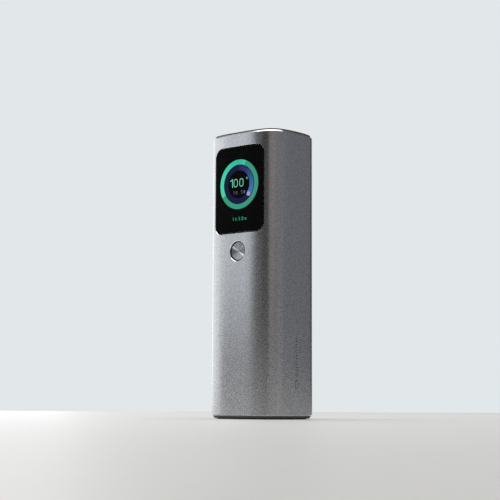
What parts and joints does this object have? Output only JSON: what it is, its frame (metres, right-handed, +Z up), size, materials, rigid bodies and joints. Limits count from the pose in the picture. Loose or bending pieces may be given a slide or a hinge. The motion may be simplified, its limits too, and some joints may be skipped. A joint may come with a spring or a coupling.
{
  "type": "power bank",
  "caption": "Tower-shaped power bank with a rounded aluminium sleeve, a curved display window, a round push button on the front and charging ports in the top.",
  "frame": {"origin": "centre of the foot pad's underside, where the power bank stands", "axes": "+Z up along the tower, the front with the display and the button faces -Y, +X to the right of the front"},
  "size_m": [0.0502, 0.0404, 0.152],
  "materials": {
    "anodised_sleeve": "bead-blasted, titanium grey anodised, with bright cut chamfers",
    "black_cap": "fine moulded texture",
    "foot_rubber": "matt silicone with a fine grip pattern",
    "cover_glass": "polished, tinted, curved at its sides",
    "optical_gel": "clear",
    "lcd_screen": "black display with a lit reading",
    "backlight": "white light guide in a folded metal tray",
    "button_metal": "spun, with fine concentric rings",
    "black_plastic": "moulded",
    "grey_plastic": "moulded",
    "screw_steel": "zinc plated",
    "port_steel": "bright nickel plated",
    "port_moulding": "moulded",
    "contact_gold": "gold flashed",
    "board_laminate": "green solder mask",
    "chip_epoxy": "moulded epoxy",
    "inductor_ferrite": "pressed powder",
    "capacitor_can": "drawn can",
    "cell_sleeve": "shrink sleeve over a steel can",
    "cell_paper": "fish paper",
    "nickel": "pure nickel strip",
    "wire_red": "silicone insulation",
    "wire_black": "silicone insulation",
    "flex_film": "amber polyimide",
    "thermal_gel": "soft filled silicone",
    "adhesive_foam": "double-sided foam tape"
  },
  "bodies": {
    "housing": {"balance_lead": "wire_black", "battery_lead_negative": "wire_black", "battery_lead_positive": "wire_red", "bottom_cap": "black_cap", "bottom_screws": "screw_steel", "button_bezel": "black_plastic", "button_guide": "black_plastic", "button_spring": "screw_steel", "capacitors": "capacitor_can", "cell_insulators": "cell_paper", "cell_lower_left": "cell_sleeve", "cell_lower_right": "cell_sleeve", "cell_upper_left": "cell_sleeve", "cell_upper_right": "cell_sleeve", "control_chips": "chip_epoxy", "display_adhesive": "adhesive_foam", "display_frame": "black_plastic", "display_glass": "cover_glass", "flex_connector": "chip_epoxy", "foot_pad": "foot_rubber", "insulation_sheet": "cell_paper", "lcd_backlight": "backlight", "lcd_flex": "flex_film", "lcd_panel": "lcd_screen", "main_pcb": "board_laminate", "optical_bond": "optical_gel", "outer_shell": "anodised_sleeve", "pcb_screws": "screw_steel", "power_inductors": "inductor_ferrite", "power_transistors": "chip_epoxy", "strip_bottom": "nickel", "strip_middle": "nickel", "strip_top": "nickel", "tact_switch_body": "chip_epoxy", "thermal_pad": "thermal_gel", "top_frame": "black_plastic", "top_plate": "black_cap", "top_screws": "screw_steel", "tray_front": "grey_plastic", "tray_rear": "grey_plastic", "usb_a_contacts": "contact_gold", "usb_a_shell": "port_steel", "usb_a_tongue": "port_moulding", "usb_c_contacts_left": "contact_gold", "usb_c_contacts_right": "contact_gold", "usb_c_shell_left": "port_steel", "usb_c_shell_right": "port_steel", "usb_c_tongue_left": "port_moulding", "usb_c_tongue_right": "port_moulding"},
    "button": {"button_cap": "button_metal", "button_stem": "black_plastic"},
    "switch_plunger": {"tact_switch_plunger": "grey_plastic"}
  },
  "joints": [
    {"name": "button_press", "type": "slide", "parent": "housing", "child": "button", "axis": [0, 1, 0], "range_m": [0, 0.0004], "stiffness_N_per_m": 1000, "springref_m": -0.0008, "deforming": ["button_spring"]},
    {"name": "switch_travel", "type": "slide", "parent": "housing", "child": "switch_plunger", "axis": [0, 1, 0], "range_m": [0, 0.0004]}
  ],
  "couplings": [
    {"joint": "switch_travel", "follows": "button_press", "ratio": 1}
  ]
}
